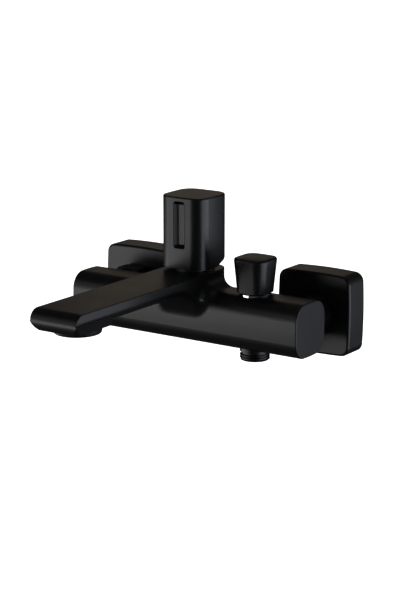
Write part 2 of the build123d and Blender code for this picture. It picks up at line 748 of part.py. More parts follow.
# Handle: a cast block, hollow from below, with a long finger slot in its front
handle_half = handle_width / 2
slot_floor = -handle_half + slot_depth
slot_z = handle_top - slot_top - slot_height / 2
with BuildPart() as handle:
    with BuildSketch(handle_plane(handle_bottom)):
        add(handle_outline)
    extrude(amount=handle_height)
    fillet(handle.faces().sort_by(Axis.Z)[-1].edges(), handle_edge)
    with BuildSketch(handle_plane(handle_bottom)):
        add(handle_inside)
    extrude(amount=handle_height - handle_wall, mode=Mode.SUBTRACT)
    # Finger slot, a pocket whose four walls lean in, with metal behind it
    with BuildSketch(wall_plane(-handle_y - slot_floor - slot_wall, 0, slot_z)):
        RectangleRounded(slot_width + slot_wall, slot_height + slot_wall, slot_corner)
    extrude(amount=slot_depth + slot_wall - handle_wall + overcut)
    for depth in (slot_depth, -overcut):
        lean = depth * slot_taper
        with BuildSketch(wall_plane(-handle_y + handle_half - depth, 0, slot_z)):
            RectangleRounded(slot_width - 2 * lean, slot_height - 2 * lean, slot_corner - lean / 2)
    loft(mode=Mode.SUBTRACT)
    slot_edges = handle.edges(Select.LAST)
    slot_floor_y = handle_y + slot_floor
    fillet(slot_edges.filter_by_position(Axis.Y, slot_floor_y - pick, slot_floor_y + pick), slot_floor_edge)
    slot_front = handle_y - handle_half
    slot_rim = handle.edges().filter_by_position(Axis.Y, slot_front - pick, slot_front + slot_edge)
    slot_rim = slot_rim.filter_by(lambda edge: abs(edge.center().X) < slot_width / 2 + pick)
    slot_rim = slot_rim.filter_by(lambda edge: abs(edge.center().Z - slot_z) < slot_height / 2 + pick)
    fillet(slot_rim, slot_edge)
    # Heel, raised so that the handle can tip back over the deck
    heel_end = handle_half + overcut
    heel_rise = (heel_end - heel_start) * heel_slope
    with BuildSketch(Plane.YZ):
        with Locations((handle_y, handle_bottom)):
            Polygon(
                (heel_start, 0),
                (heel_end, heel_rise),
                (heel_end, -overcut),
                (heel_start, -overcut),
                align=None,
            )
    extrude(amount=handle_width, both=True, mode=Mode.SUBTRACT)
    bore(wall_plane(-handle_y - heel_end, 0, grub_z), plug_radius, heel_end)
save(handle.part, "handle")

with BuildPart() as adapter:
    with BuildSketch(handle_plane(adapter_bottom)):
        add(adapter_outline)
        with Locations((0, slot_floor + slot_wall + slip_fit)):
            Rectangle(handle_width, handle_width, align=(Align.CENTER, Align.MIN), mode=Mode.INTERSECT)
    extrude(amount=adapter_height)
    with BuildSketch(handle_plane(adapter_bottom)):
        Rectangle(lever_width + 2 * screw_fit, lever_width + 2 * screw_fit)
    extrude(amount=lever_socket, mode=Mode.SUBTRACT)
    bore(wall_plane(-handle_y - handle_half, 0, grub_z), grub_radius + screw_fit, handle_half)
save(adapter.part, "handle_adapter")

with BuildPart() as grub_screw:
    grub_outer = lever_width / 2 + grub_length
    disc(wall_plane(-handle_y - grub_outer, 0, grub_z), grub_radius, grub_length)
    with BuildSketch(wall_plane(-handle_y - grub_outer, 0, grub_z)):
        RegularPolygon(grub_key, 6, major_radius=False)
    extrude(amount=grub_length / 2, mode=Mode.SUBTRACT)
save(grub_screw.part, "handle_grub_screw")

with BuildPart() as plug:
    disc(wall_plane(-handle_y - handle_half, 0, grub_z), plug_radius - screw_fit, plug_length)
    fillet(plug.faces().sort_by(Axis.Y)[-1].edges(), plug_edge)
save(plug.part, "handle_screw_plug")

# Diverter: knob, stem and valve rise together in the bar
with BuildPart() as knob:
    knob_top = knob_bottom + knob_height
    with BuildSketch(diverter_plane(knob_bottom)):
        add(knob_foot_outline)
    with BuildSketch(diverter_plane(knob_top)):
        add(knob_top_outline)
    loft()
    fillet(knob.faces().sort_by(Axis.Z)[-1].edges(), knob_edge)
    bore(diverter_plane(knob_bottom), diverter_stem_radius + screw_fit, knob_socket)
save(knob.part, "diverter_knob")

with BuildPart() as stem:
    stem_bottom = valve_bottom - stem_tip
    flange_bottom = valve_bottom + valve_washer_height
    disc(diverter_plane(stem_bottom), diverter_stem_radius, knob_bottom + knob_socket - stem_bottom)
    disc(diverter_plane(flange_bottom), valve_washer_radius, valve_flange_height)
save(stem.part, "diverter_stem")

with BuildPart() as lower_washer:
    ring(diverter_plane(valve_bottom), valve_washer_radius, diverter_stem_radius, valve_washer_height)
save(lower_washer.part, "diverter_lower_washer")

with BuildPart() as upper_washer:
    upper_washer_bottom = valve_top - valve_washer_height
    ring(diverter_plane(upper_washer_bottom), valve_washer_radius, upper_washer_bore, valve_washer_height)
save(upper_washer.part, "diverter_upper_washer")

with BuildPart() as seat_ring:
    ring(diverter_plane(upper_seat), upper_seat_radius, valve_seat_bore, upper_seat_height)
save(seat_ring.part, "diverter_seat_ring")

stem_seal_top = bonnet_seat - stem_seal_depth
with BuildPart() as bonnet:
    disc(diverter_plane(bonnet_bottom), bonnet_thread_radius, bonnet_thread_length)
    disc(diverter_plane(bonnet_seat), bonnet_radius, bonnet_height)
    chamfer(bonnet.faces().sort_by(Axis.Z)[-1].edges(), bonnet_edge)
    bore(diverter_plane(bonnet_bottom), diverter_stem_radius + running_fit, bar_height)
    bore(diverter_plane(bonnet_bottom), spring_radius + 2 * spring_wire, spring_pocket)
    seal_groove_radius = diverter_stem_radius + running_fit + 2 * stem_seal_wire
    bore(diverter_plane(stem_seal_top - 2 * stem_seal_wire), seal_groove_radius, 2 * stem_seal_wire)
save(bonnet.part, "diverter_bonnet")

with BuildPart() as stem_seal:
    with Locations(diverter_plane(stem_seal_top - stem_seal_wire)):
        Torus(diverter_stem_radius + running_fit + stem_seal_wire, stem_seal_wire)
save(stem_seal.part, "diverter_stem_seal")

spring_bottom = valve_top - valve_washer_height
spring_length = bonnet_bottom + spring_pocket - spring_bottom
diverter_spring = coil_spring(
    diverter_plane(spring_bottom), spring_radius, spring_wire, spring_length, spring_turns
)
save(diverter_spring, "diverter_spring")

# Shower outlet under the bar, with a check valve inside
outlet_shoulder = bar_bottom + outlet_spot
outlet_plane = diverter_plane(outlet_bottom)
stud_length = outlet_shoulder - outlet_bottom
outlet_stud = threaded_stud(outlet_plane, half_inch_radius, stud_length, outlet_land + outlet_spot)
with BuildPart() as outlet:
    add(outlet_stud)
    disc(diverter_plane(outlet_shoulder), outlet_shank_radius, outlet_shank_top - outlet_shoulder)
    bore(outlet_plane, outlet_bore, check_top - outlet_bottom)
    bore(outlet_plane, outlet_throat, outlet_shank_top - outlet_bottom)
save(outlet.part, "shower_outlet")

with BuildPart() as outlet_seal:
    ring(diverter_plane(outlet_shank_top), outlet_shank_radius, outlet_bore, outlet_seal_height)
save(outlet_seal.part, "shower_outlet_seal")

check_radius = outlet_bore - screw_fit
check_inside = check_radius - check_wall
with BuildPart() as check_body:
    ring(diverter_plane(check_bottom), check_radius, check_inside, check_length - check_seat_height)
    disc(diverter_plane(check_top - check_seat_height), check_radius, check_seat_height)
    bore(diverter_plane(check_top - check_seat_height), check_seat_bore, check_seat_height)
    with BuildSketch(diverter_plane(check_bottom)):
        Rectangle(2 * check_radius - check_wall, check_arm)
        Rectangle(check_arm, 2 * check_radius - check_wall)
        Circle(check_guide_hub)
        Circle(check_guide_bore, mode=Mode.SUBTRACT)
    extrude(amount=check_guide_height)
save(check_body.part, "check_valve_body")

with BuildPart() as poppet:
    poppet_bottom = poppet_top - poppet_height
    disc(diverter_plane(poppet_bottom), poppet_radius, poppet_height)
    disc(diverter_plane(check_bottom), poppet_stem_radius, poppet_bottom - check_bottom)
save(poppet.part, "check_valve_poppet")

check_spring_bottom = check_bottom + check_guide_height
check_spring = coil_spring(
    diverter_plane(check_spring_bottom),
    check_spring_radius,
    check_spring_wire,
    poppet_bottom - check_spring_bottom,
    check_spring_turns,
)
save(check_spring, "check_valve_spring")

# Aerator in the spout's mouth
aerator_bottom = boss_mouth + aerator_recess
aerator_plane = Plane(origin=(0, -spout_reach, aerator_bottom))
aerator_inside = aerator_radius - aerator_wall
with BuildPart() as aerator_housing:
    disc(aerator_plane, aerator_radius, aerator_height)
    bore(aerator_plane, aerator_inside - aerator_lip, aerator_height)
    bore(aerator_plane.offset(aerator_lip), aerator_inside, aerator_height - aerator_lip)
    chamfer(aerator_housing.faces().sort_by(Axis.Z)[0].edges().sort_by(SortBy.RADIUS)[0], aerator_lip / 2)
save(aerator_housing.part, "aerator_housing")

with BuildPart() as aerator_insert:
    insert_height = aerator_height - aerator_lip
    disc(aerator_plane.offset(aerator_lip), aerator_inside - screw_fit, insert_height)
    with BuildSketch(aerator_plane.offset(aerator_lip)):
        for hole_circle, hole_count in aerator_hole_rings:
            with PolarLocations(hole_circle, hole_count):
                Circle(aerator_hole_radius)
    extrude(amount=insert_height, mode=Mode.SUBTRACT)
save(aerator_insert.part, "aerator_insert")

with BuildPart() as aerator_seal:
    ring(aerator_plane.offset(aerator_height), aerator_radius, aerator_seal_bore, aerator_seal_height)
save(aerator_seal.part, "aerator_seal")
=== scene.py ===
"""Looks of the wall mounted bath mixer: its finishes, its fine pieces, the studio and the camera."""

import json
import math

import bmesh
import bpy
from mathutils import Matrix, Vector


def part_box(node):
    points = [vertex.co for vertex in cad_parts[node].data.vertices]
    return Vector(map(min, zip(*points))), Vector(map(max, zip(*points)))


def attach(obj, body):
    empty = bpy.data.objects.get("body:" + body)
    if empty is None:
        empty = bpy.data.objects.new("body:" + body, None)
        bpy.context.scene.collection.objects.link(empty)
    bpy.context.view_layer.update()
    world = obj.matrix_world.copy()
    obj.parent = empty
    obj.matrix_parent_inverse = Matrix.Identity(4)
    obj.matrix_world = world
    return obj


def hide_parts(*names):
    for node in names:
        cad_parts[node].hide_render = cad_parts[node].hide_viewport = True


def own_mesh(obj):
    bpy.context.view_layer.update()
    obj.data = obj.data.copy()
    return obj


MM = 0.001
weld_gap = 0.002 * MM  # within which points of one piece are joined
sharp_angle = math.radians(38)  # between faces whose edge stays sharp

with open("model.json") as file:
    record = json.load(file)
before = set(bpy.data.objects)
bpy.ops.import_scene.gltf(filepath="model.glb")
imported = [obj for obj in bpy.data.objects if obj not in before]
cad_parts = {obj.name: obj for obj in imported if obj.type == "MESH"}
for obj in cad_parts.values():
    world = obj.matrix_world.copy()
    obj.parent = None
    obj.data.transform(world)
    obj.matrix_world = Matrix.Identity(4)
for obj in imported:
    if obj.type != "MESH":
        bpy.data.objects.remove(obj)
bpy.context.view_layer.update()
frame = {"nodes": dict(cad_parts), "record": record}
scene = bpy.context.scene


def linear(hex_colour):
    """An sRGB hex colour as linear RGBA."""
    parts = [int(hex_colour[i : i + 2], 16) / 255 for i in (1, 3, 5)]
    return [c / 12.92 if c <= 0.04045 else ((c + 0.055) / 1.055) ** 2.4 for c in parts] + [1.0]


def add_node(tree, kind, sockets=None, **settings):
    """Adds a node, with its settings, and gives its sockets values or links."""
    node = tree.nodes.new(kind)
    for name, value in settings.items():
        setattr(node, name, value)
    for name, value in (sockets or {}).items():
        if isinstance(value, bpy.types.NodeSocket):
            tree.links.new(value, node.inputs[name])
        else:
            node.inputs[name].default_value = value
    return node


def calc(tree, operation, *values):
    """Adds a sum on numbers to a tree and returns its result."""
    return add_node(tree, "ShaderNodeMath", dict(enumerate(values)), operation=operation).outputs[0]


def new_material(name):
    """A new material, its node tree, its Principled shader and its object coordinates."""
    material = bpy.data.materials.new(name)
    material.use_nodes = True
    tree = material.node_tree
    shader = tree.nodes["Principled BSDF"]
    place = add_node(tree, "ShaderNodeTexCoord").outputs["Object"]
    return material, tree, shader, place


def finish(
    name, colours, roughness, pattern_mm, stretch=(1, 1, 1), relief_mm=0.0, drift_mm=25.0, **constants
):
    """A finish with a fine pattern in its colour and relief, and a slow drift in its gloss."""
    material, tree, shader, place = new_material(name)
    pulled = add_node(tree, "ShaderNodeMapping", {"Vector": place, "Scale": [1 / s for s in stretch]})
    fine = {"Vector": pulled.outputs["Vector"], "Scale": 1 / (pattern_mm * MM), "Detail": 3.0}
    grain = add_node(tree, "ShaderNodeTexNoise", fine).outputs["Fac"]
    slow = {"Vector": place, "Scale": 1 / (drift_mm * MM), "Detail": 2.0}
    drift = add_node(tree, "ShaderNodeTexNoise", slow).outputs["Fac"]
    spread = add_node(tree, "ShaderNodeMapRange", {"Value": grain, "From Min": 0.3, "From Max": 0.7})
    tone = add_node(tree, "ShaderNodeMix", {"Factor": spread.outputs["Result"]}, data_type="RGBA")
    tone.inputs["A"].default_value = linear(colours[0])
    tone.inputs["B"].default_value = linear(colours[1])
    both = calc(tree, "ADD", grain, drift)
    gloss = add_node(tree, "ShaderNodeMapRange", {"Value": both, "From Min": 0.6, "From Max": 1.4})
    gloss.inputs["To Min"].default_value, gloss.inputs["To Max"].default_value = roughness
    tree.links.new(tone.outputs["Result"], shader.inputs["Base Color"])
    tree.links.new(gloss.outputs["Result"], shader.inputs["Roughness"])
    if relief_mm:
        bump = add_node(tree, "ShaderNodeBump", {"Height": grain, "Distance": relief_mm * MM})
        tree.links.new(bump.outputs["Normal"], shader.inputs["Normal"])
    for socket, value in constants.items():
        shader.inputs[socket.replace("_", " ")].default_value = value
    return material


# Matt black powder coat, sprayed dry and baked: nearly black, with a soft, even sheen. The powder flows into
# a skin with a grain of about 0.25 mm, drawn at 0.9 mm so that it shows
powder_coat = finish(
    "powder_coat_matt_black", ("#020203", "#060607"), (0.33, 0.38), 0.9, relief_mm=0.004, IOR=1.5
)

# Chromium plated on polished brass: a cool mirror, with a faint haze left by the buffing wheel. The buffing
# lines are finer than 0.05 mm, drawn at 0.6 mm across and drawn out sideways
chrome = finish(
    "chrome_plate_buffed", ("#dde1e5", "#edf0f2"), (0.05, 0.11), 0.6, stretch=(8, 8, 1), Metallic=1.0
)

# Chromium plated on blasted brass: a dull grey satin that spreads what it mirrors. The blasting leaves
# dimples of about 0.1 mm, drawn at 0.4 mm
satin_chrome = finish(
    "chrome_plate_satin", ("#6e7174", "#83868a"), (0.3, 0.38), 0.4, relief_mm=0.004, Metallic=1.0
)

# Brass turned on a lathe: warm yellow, with fine rings that a tool feed of about 0.1 mm leaves, drawn at
# 0.5 mm. The rings lie across the axis: Y for the pieces at the wall, Z for those in the bar
brass_along_y = finish(
    "brass_turned_along_y", ("#ad8a45", "#cfae68"), (0.2, 0.32), 0.5, (30, 1, 30), 0.01, Metallic=1.0
)
brass_along_z = finish(
    "brass_turned_along_z", ("#ad8a45", "#cfae68"), (0.2, 0.32), 0.5, (30, 30, 1), 0.01, Metallic=1.0
)

# Nitrile rubber, moulded: dull black with a dusty bloom. The bloom's specks are about 0.3 mm
rubber = finish(
    "nitrile_rubber_moulded", ("#101011", "#1c1c1d"), (0.55, 0.72), 0.3, relief_mm=0.006, IOR=1.52
)

# Vulcanised fibre, pressed from layers of paper: red brown, with pale fibres about 0.2 mm wide and 2 mm long
fibre = finish(
    "vulcanised_fibre_pressed", ("#55261c", "#8a4a35"), (0.62, 0.8), 0.2, (10, 1, 10), 0.01, IOR=1.55
)

# Alumina ceramic, lapped flat: off-white and smooth, with a faint grain. The grain is about 0.01 mm, drawn
# at 0.5 mm
alumina = finish("alumina_lapped", ("#e6e3d8", "#f4f2ea"), (0.14, 0.22), 0.5, IOR=1.76)

# Acetal, moulded: milky white with a waxy gloss and slow flow marks, some 3 mm apart
acetal = finish(
    "acetal_moulded", ("#d8d9d3", "#e6e6e1"), (0.34, 0.44), 3.0, (1, 1, 3), IOR=1.48, Subsurface_Weight=0.08
)

# Nylon filled with glass, moulded: mid grey with pale flecks of fibre, 0.15 mm wide and 1 mm long, drawn at
# 0.25 mm
nylon = finish(
    "nylon_glass_filled_moulded", ("#404245", "#5d5f62"), (0.44, 0.56), 0.25, (4, 1, 1), 0.008, IOR=1.53
)

# Stainless steel, drawn through a die: pale grey with streaks along the wire, finer than 0.05 mm, drawn at
# 0.3 mm
stainless = finish(
    "stainless_steel_drawn", ("#a3a5a8", "#c8cacc"), (0.2, 0.34), 0.3, (1, 1, 12), Metallic=1.0
)

finishes = {
    "matt_black_paint": powder_coat,
    "chrome_plate": chrome,
    "raw_brass": brass_along_z,
    "rubber": rubber,
    "fibre": fibre,
    "ceramic": alumina,
    "pale_plastic": acetal,
    "grey_plastic": nylon,
    "steel": stainless,
}
slot_of = {part["node"]: part["material_slot"] for part in frame["record"]["subparts"]}
for node, slot in slot_of.items():
    piece = frame["nodes"][node]
    piece.data.materials.clear()
    piece.data.materials.append(finishes[slot])
for node in ("hot_s_union", "cold_s_union", "hot_inlet_tail", "cold_inlet_tail"):
    frame["nodes"][node].data.materials[0] = brass_along_y
frame["nodes"]["cartridge_cover_ring"].data.materials[0] = satin_chrome


def new_tree(name, sizes):
    """An empty Geometry Nodes tree, with a named input for each size, and its input and output nodes."""
    tree = bpy.data.node_groups.new(name, "GeometryNodeTree")
    tree.interface.new_socket("Geometry", in_out="INPUT", socket_type="NodeSocketGeometry")
    for size, value in sizes.items():
        kind = "NodeSocketInt" if isinstance(value, int) else "NodeSocketFloat"
        tree.interface.new_socket(size, in_out="INPUT", socket_type=kind)
    tree.interface.new_socket("Geometry", in_out="OUTPUT", socket_type="NodeSocketGeometry")
    return tree, add_node(tree, "NodeGroupInput").outputs, add_node(tree, "NodeGroupOutput")


def attribute(tree, name, data_type):
    """A named attribute of a geometry's points."""
    node = add_node(tree, "GeometryNodeInputNamedAttribute", {"Name": name}, data_type=data_type)
    return node.outputs["Attribute"]


def sample(tree, geometry, value, index, data_type):
    """A value, read from one point of a geometry."""
    sockets = {"Geometry": geometry, "Value": value, "Index": index}
    return add_node(tree, "GeometryNodeSampleIndex", sockets, data_type=data_type).outputs["Value"]


def place_points(tree, geometry, position):
    """Moves a geometry's points to new places and welds those that meet."""
    moved = add_node(tree, "GeometryNodeSetPosition", {"Geometry": geometry, "Position": position})
    sockets = {"Geometry": moved.outputs["Geometry"], "Distance": weld_gap}
    return add_node(tree, "GeometryNodeMergeByDistance", sockets).outputs["Geometry"]


def run_tree(name, tree, sizes, start_mesh):
    """Runs a tree on a mesh and returns the result as a plain piece."""
    piece = bpy.data.objects.new(name, start_mesh)
    scene.collection.objects.link(piece)
    modifier = piece.modifiers.new(tree.name, "NODES")
    modifier.node_group = tree
    for socket in tree.interface.items_tree:
        if socket.in_out == "INPUT" and socket.name in sizes:
            modifier[socket.identifier] = sizes[socket.name]
    evaluated = piece.evaluated_get(bpy.context.evaluated_depsgraph_get())
    grown = bpy.data.meshes.new_from_object(evaluated)
    piece.modifiers.clear()
    piece.data = grown
    grown.name = name
    grown.shade_smooth()
    grown.set_sharp_from_angle(angle=sharp_angle)
    return piece


def close_tree(tree, ends, geometry, material):
    """Ends a tree: realises its instances, gives it its material and links it out."""
    real = add_node(tree, "GeometryNodeRealizeInstances", {"Geometry": geometry}).outputs["Geometry"]
    painted = add_node(tree, "GeometryNodeSetMaterial", {"Geometry": real, "Material": material})
    tree.links.new(painted.outputs["Geometry"], ends.inputs["Geometry"])


# Shower outlet: a turned stub whose coated thread has soft crests and roots. The tree spins the stub's side
# outline round its axis and sinks a spiral groove into the rows of the outline that are marked for it
outlet_low, outlet_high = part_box("shower_outlet")
outlet_axis = (outlet_low + outlet_high) / 2
outlet_radius = (outlet_high.x - outlet_low.x) / 2
outlet_bottom, outlet_top = outlet_low.z, outlet_high.z
thread_pitch, thread_depth, thread_length = 1.814 * MM, 0.95 * MM, 4.6 * MM
lead, undercut_width, undercut_depth, stub_length = 0.8 * MM, 1.6 * MM, 1.25 * MM, 8.8 * MM
shank_radius, bore_radius, throat_radius, throat_length = 9.35 * MM, 7.0 * MM, 5.4 * MM, 2.6 * MM
undercut_start = outlet_bottom + thread_length
land_start = undercut_start + undercut_width
shoulder = outlet_bottom + stub_length
outline = [(bore_radius, outlet_bottom, 0.0)]
thread_rows = 48
for row in range(thread_rows + 1):
    rise = thread_length * row / thread_rows
    crest = min(outlet_radius, outlet_radius - lead + rise)
    outline.append((crest, outlet_bottom + rise, max(0.0, crest - outlet_radius + thread_depth)))
outline += [(outlet_radius - undercut_depth, z, 0.0) for z in (undercut_start, land_start)]
outline += [(outlet_radius, z, 0.0) for z in (land_start, shoulder)]
outline += [(shank_radius, z, 0.0) for z in (shoulder, outlet_top)]
outline += [(throat_radius, z, 0.0) for z in (outlet_top, outlet_top - throat_length)]
outline += [(bore_radius, z, 0.0) for z in (outlet_top - throat_length, outlet_bottom)]
outline_mesh = bpy.data.meshes.new("outlet_outline")
outline_mesh.from_pydata([(radius, 0, z) for radius, z, sink in outline], [], [])
sinks = outline_mesh.attributes.new("groove_depth", "FLOAT", "POINT")
sinks.data.foreach_set("value", [sink for radius, z, sink in outline])

outlet_sizes = {
    "Rows": len(outline),
    "Columns": 145,
    "Pitch": thread_pitch,
    "Axis X": outlet_axis.x,
    "Axis Y": outlet_axis.y,
}
tree, given, ends = new_tree("threaded_stub", outlet_sizes)
counts = {"Vertices X": given["Columns"], "Vertices Y": given["Rows"]}
grid = add_node(tree, "GeometryNodeMeshGrid", counts).outputs["Mesh"]
index = add_node(tree, "GeometryNodeInputIndex").outputs["Index"]
row = calc(tree, "MODULO", index, given["Rows"])
column = calc(tree, "FLOOR", calc(tree, "DIVIDE", index, given["Rows"]))
turn = calc(tree, "DIVIDE", column, calc(tree, "SUBTRACT", given["Columns"], 1.0))
spot = add_node(tree, "GeometryNodeInputPosition").outputs["Position"]
at_row = sample(tree, given["Geometry"], spot, row, "FLOAT_VECTOR")
sink = sample(tree, given["Geometry"], attribute(tree, "groove_depth", "FLOAT"), row, "FLOAT")
outline_at = add_node(tree, "ShaderNodeSeparateXYZ", {0: at_row}).outputs
phase = calc(tree, "SUBTRACT", calc(tree, "DIVIDE", outline_at["Z"], given["Pitch"]), turn)
phase = calc(tree, "PINGPONG", phase, 0.5)
flank = {"Value": phase, "From Min": 0.1, "From Max": 0.4}
groove = add_node(tree, "ShaderNodeMapRange", flank, interpolation_type="SMOOTHSTEP").outputs["Result"]
radius = calc(tree, "SUBTRACT", outline_at["X"], calc(tree, "MULTIPLY", groove, sink))
angle = calc(tree, "MULTIPLY", turn, 2 * math.pi)
across = {"Z": outline_at["Z"]}
for operation, axis in (("COSINE", "X"), ("SINE", "Y")):
    reach = calc(tree, "MULTIPLY", radius, calc(tree, operation, angle))
    across[axis] = calc(tree, "ADD", reach, given["Axis " + axis])
point = add_node(tree, "ShaderNodeCombineXYZ", across).outputs[0]
close_tree(tree, ends, place_points(tree, grid, point), powder_coat)
outlet = run_tree("shower_outlet_threaded", tree, outlet_sizes, outline_mesh)
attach(outlet, "mixer_body")
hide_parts("shower_outlet")

# Diverter knob: a block that flares upwards, with four bowed sides, round corners and a slightly crowned top.
# The tree lofts its foot's outline into its top's, and rows of insets round its shoulder and foot
knob_low, knob_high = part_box("diverter_knob")
knob_middle = (knob_low + knob_high) / 2
side_steps, corner_steps = 8, 8


def bowed_outline(width, bulge, corner):
    """Points and outward normals round a square with bowed sides and round corners, from a side's middle."""
    half = width / 2 - bulge
    bow = (half**2 + bulge**2) / (2 * bulge)
    hub = width / 2 - bow
    inner = bow - corner
    centre = (2 * hub + math.sqrt(4 * hub**2 - 8 * (hub**2 - inner**2))) / 4
    lean = math.atan2(centre, centre - hub)
    points = []
    for step in range(side_steps):
        turn = lean * step / side_steps
        points.append((bow * math.sin(turn), hub + bow * math.cos(turn), turn))
    for step in range(corner_steps):
        turn = lean + (math.pi / 2 - 2 * lean) * step / corner_steps
        points.append((centre + corner * math.sin(turn), centre + corner * math.cos(turn), turn))
    for step in range(side_steps):
        turn = lean * (step / side_steps - 1)
        points.append((hub + bow * math.cos(turn), -bow * math.sin(turn), math.pi / 2 + turn))
    whole = []
    for quarter in range(4):
        swing = -quarter * math.pi / 2
        for x, y, turn in points:
            place = (x * math.cos(swing) - y * math.sin(swing), x * math.sin(swing) + y * math.cos(swing), 0)
            whole.append((place, (math.sin(turn - swing), math.cos(turn - swing), 0)))
    return whole


knob_foot_width, knob_top_width, knob_bulge = 21.7 * MM, 26.2 * MM, 0.7 * MM
knob_foot_corner, knob_top_corner = 6.0 * MM, 7.6 * MM
foot = bowed_outline(knob_foot_width, knob_bulge, knob_foot_corner)
top = bowed_outline(knob_top_width, knob_bulge, knob_top_corner)
knob_height = knob_high.z - knob_low.z
flare = math.atan2((knob_top_width - knob_foot_width) / 2, knob_height)
shoulder_radius, shoulder_steps = 1.8 * MM, 12
foot_edge, foot_share = 0.25 * MM, 0.01
crown, crown_lift, crown_rows = 0.8 * MM, 0.6 * MM, 6
knob_peak = knob_high.z + crown_lift
crown_slope = 2 * crown / (knob_top_width / 2 - shoulder_radius)
shoulder_z = knob_peak - crown - shoulder_radius * math.cos(crown_slope)
# Each row: share of the way from foot to top, inset, height, spread from the axis
knob_rows = [
    (0.0, 0.0, knob_low.z, 0.0),
    (0.0, foot_edge, knob_low.z, 1.0),
    (foot_share, 0.0, knob_low.z + foot_edge, 1.0),
]
for step in range(shoulder_steps + 1):
    turn = -flare + (math.pi / 2 - crown_slope + flare) * step / shoulder_steps
    z = shoulder_z + shoulder_radius * math.sin(turn)
    inset = shoulder_radius * (1 / math.cos(flare) - math.cos(turn)) + (z - shoulder_z) * math.tan(flare)
    knob_rows.append(((z - knob_low.z) / knob_height, inset, z, 1.0))
rim_share, rim_inset = knob_rows[-1][:2]
for step in range(1, crown_rows):
    spread = 1 - step / crown_rows
    knob_rows.append((rim_share, rim_inset, knob_peak - crown * spread**2, spread))
knob_rows.append((1.0, 0.0, knob_peak, 0.0))
knob_start = bpy.data.meshes.new("knob_outlines")
knob_start.from_pydata([place for place, normal in foot] + [entry[:3] for entry in knob_rows], [], [])
blank = [(0, 0, 0)] * len(knob_rows)
for name, values in (
    ("top_place", [place for place, normal in top] + blank),
    ("outward", [normal for place, normal in foot] + blank),
    ("spread", [(0, 0, 0)] * len(foot) + [(entry[3], 0, 0) for entry in knob_rows]),
):
    marks = knob_start.attributes.new(name, "FLOAT_VECTOR", "POINT")
    marks.data.foreach_set("vector", [number for value in values for number in value])

knob_sizes = {
    "Around": len(foot),
    "Rows": len(knob_rows),
    "Middle X": knob_middle.x,
    "Middle Y": knob_middle.y,
}
tree, given, ends = new_tree("bowed_block", knob_sizes)
counts = {"Vertices X": calc(tree, "ADD", given["Around"], 1.0), "Vertices Y": given["Rows"]}
grid = add_node(tree, "GeometryNodeMeshGrid", counts).outputs["Mesh"]
index = add_node(tree, "GeometryNodeInputIndex").outputs["Index"]
row = calc(tree, "ADD", calc(tree, "MODULO", index, given["Rows"]), given["Around"])
column = calc(tree, "FLOOR", calc(tree, "DIVIDE", index, given["Rows"]))
column = calc(tree, "MODULO", column, given["Around"])
spot = add_node(tree, "GeometryNodeInputPosition").outputs["Position"]
foot_at = sample(tree, given["Geometry"], spot, column, "FLOAT_VECTOR")
row_at = sample(tree, given["Geometry"], spot, row, "FLOAT_VECTOR")
marked = {}
for name, at in (("top_place", column), ("outward", column), ("spread", row)):
    mark = attribute(tree, name, "FLOAT_VECTOR")
    marked[name] = sample(tree, given["Geometry"], mark, at, "FLOAT_VECTOR")
row_at = add_node(tree, "ShaderNodeSeparateXYZ", {0: row_at}).outputs
spread = add_node(tree, "ShaderNodeSeparateXYZ", {0: marked["spread"]}).outputs["X"]
side = add_node(tree, "ShaderNodeMix", {"Factor": row_at["X"]}, data_type="VECTOR")
tree.links.new(foot_at, side.inputs[4])
tree.links.new(marked["top_place"], side.inputs[5])
inward = {0: marked["outward"], "Scale": row_at["Y"]}
inward = add_node(tree, "ShaderNodeVectorMath", inward, operation="SCALE").outputs[0]
ring = {0: side.outputs[1], 1: inward}
ring = add_node(tree, "ShaderNodeVectorMath", ring, operation="SUBTRACT").outputs[0]
ring = add_node(tree, "ShaderNodeVectorMath", {0: ring, "Scale": spread}, operation="SCALE").outputs[0]
middle = {"X": given["Middle X"], "Y": given["Middle Y"], "Z": row_at["Z"]}
middle = add_node(tree, "ShaderNodeCombineXYZ", middle).outputs[0]
point = add_node(tree, "ShaderNodeVectorMath", {0: ring, 1: middle}, operation="ADD").outputs[0]
lofted = place_points(tree, grid, point)
outside = add_node(tree, "GeometryNodeFlipFaces", {"Mesh": lofted}).outputs["Mesh"]
close_tree(tree, ends, outside, powder_coat)
knob = run_tree("diverter_knob_bowed", tree, knob_sizes, knob_start)
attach(knob, "diverter_group")
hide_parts("diverter_knob")

# Aerator insert: a honeycomb of thin walls that straightens the water. The tree lays hexagonal cells in
# staggered rows, keeps those inside the rim and stands them up as tubes
insert_low, insert_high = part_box("aerator_insert")
insert_middle = (insert_low + insert_high) / 2
insert_sizes = {
    "Radius": (insert_high.x - insert_low.x) / 2,
    "Height": insert_high.z - insert_low.z,
    "Cell": 1.9 * MM,
    "Wall": 0.35 * MM,
    "Rim": 0.9 * MM,
    "Rows": 13,
    "Middle X": insert_middle.x,
    "Middle Y": insert_middle.y,
    "Middle Z": insert_middle.z,
}
tree, given, ends = new_tree("aerator_honeycomb", insert_sizes)
span_x = calc(tree, "MULTIPLY", calc(tree, "SUBTRACT", given["Rows"], 1.0), given["Cell"])
span_y = calc(tree, "MULTIPLY", span_x, math.sqrt(3) / 2)
field = {"Size X": span_x, "Size Y": span_y, "Vertices X": given["Rows"], "Vertices Y": given["Rows"]}
cells = add_node(tree, "GeometryNodeMeshGrid", field).outputs["Mesh"]
index = add_node(tree, "GeometryNodeInputIndex").outputs["Index"]
odd = calc(tree, "MODULO", calc(tree, "MODULO", index, given["Rows"]), 2.0)
half = calc(tree, "MULTIPLY", given["Cell"], 0.5)
shift = add_node(tree, "ShaderNodeCombineXYZ", {"X": calc(tree, "MULTIPLY", odd, half)}).outputs[0]
staggered = add_node(tree, "GeometryNodeSetPosition", {"Geometry": cells, "Offset": shift})
